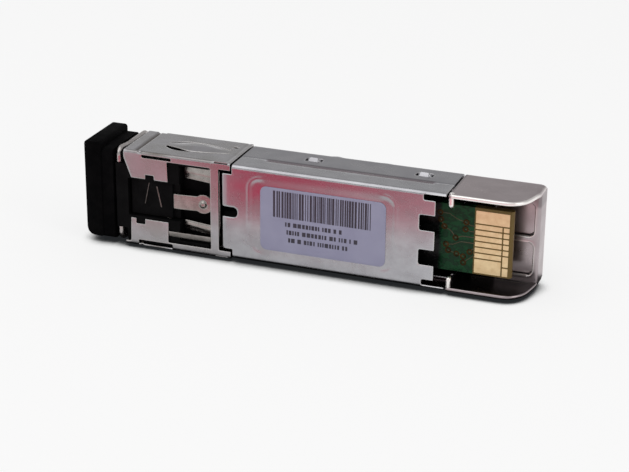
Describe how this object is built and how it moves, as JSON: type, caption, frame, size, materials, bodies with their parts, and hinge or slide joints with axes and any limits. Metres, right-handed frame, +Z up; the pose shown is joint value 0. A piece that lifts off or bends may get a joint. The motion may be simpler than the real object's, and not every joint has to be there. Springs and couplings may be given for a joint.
{
  "type": "optical transceiver module",
  "caption": "Small pluggable optical transceiver: plated steel shell with an open rear cup around gold edge contacts, wire bail release and black duplex dust plug.",
  "frame": {"origin": "centre of the bounding box in X and Y, at its lowest Z: the surface that the module stands on, on its narrow side", "axes": "+X along the length from the plugged optical nose to the electrical rear end, +Y from the labelled wide face to the opposite wide face, +Z up across the width"},
  "size_m": [0.0624, 0.0095, 0.0146],
  "materials": {
    "plated_steel": "satin plated sheet",
    "cup_steel": "satin plated sheet",
    "nose_steel": "satin plated sheet",
    "spring_steel": "bright spring strip",
    "wire_steel": "polished wire",
    "black_plastic": "moulded, fine texture",
    "black_rubber": "matte",
    "green_laminate": "green solder mask over glass laminate",
    "chip_black": "moulded",
    "barrel_metal": "turned",
    "can_metal": "gold-flashed can",
    "flex_film": "amber film",
    "label_film": "satin film"
  },
  "bodies": {
    "module": {"label_cover": "plated_steel", "main_shell": "plated_steel", "rear_cup": "cup_steel", "nose_shield": "nose_steel", "receptacle_housing": "black_plastic", "lever_pin": "spring_steel", "latch_spring": "spring_steel", "circuit_board": "green_laminate", "driver_chip": "chip_black", "amplifier_chip": "chip_black", "memory_chip": "chip_black", "controller_chip": "chip_black", "board_frame": "black_plastic", "transmitter_barrel": "barrel_metal", "receiver_barrel": "barrel_metal", "transmitter_can": "can_metal", "receiver_can": "can_metal", "transmitter_leads": "flex_film", "receiver_leads": "flex_film", "optics_clip": "can_metal", "label_sticker": "label_film"},
    "bail": {"bail_wire": "wire_steel"},
    "latch": {"latch_lever": "black_plastic", "latch_plate": "spring_steel"},
    "plug": {"dust_plug": "black_rubber"}
  },
  "joints": [
    {"name": "bail_hinge", "type": "hinge", "parent": "module", "child": "bail", "pos_m": [-0.026, -0.00374, 0.00723], "axis": [0, 0, 1], "range_deg": [0, 90]},
    {"name": "latch_hinge", "type": "hinge", "parent": "module", "child": "latch", "pos_m": [-0.0192, -0.00319, 0.00723], "axis": [0, 0, 1], "range_deg": [0, 8]},
    {"name": "plug_slide", "type": "slide", "parent": "module", "child": "plug", "axis": [-1, 0, 0], "range_m": [0, 0.045]}
  ],
  "couplings": [
    {"joint": "bail_hinge", "follows": "plug_slide", "rad_per_m": 34.9},
    {"joint": "latch_hinge", "follows": "plug_slide", "rad_per_m": 3.1}
  ]
}
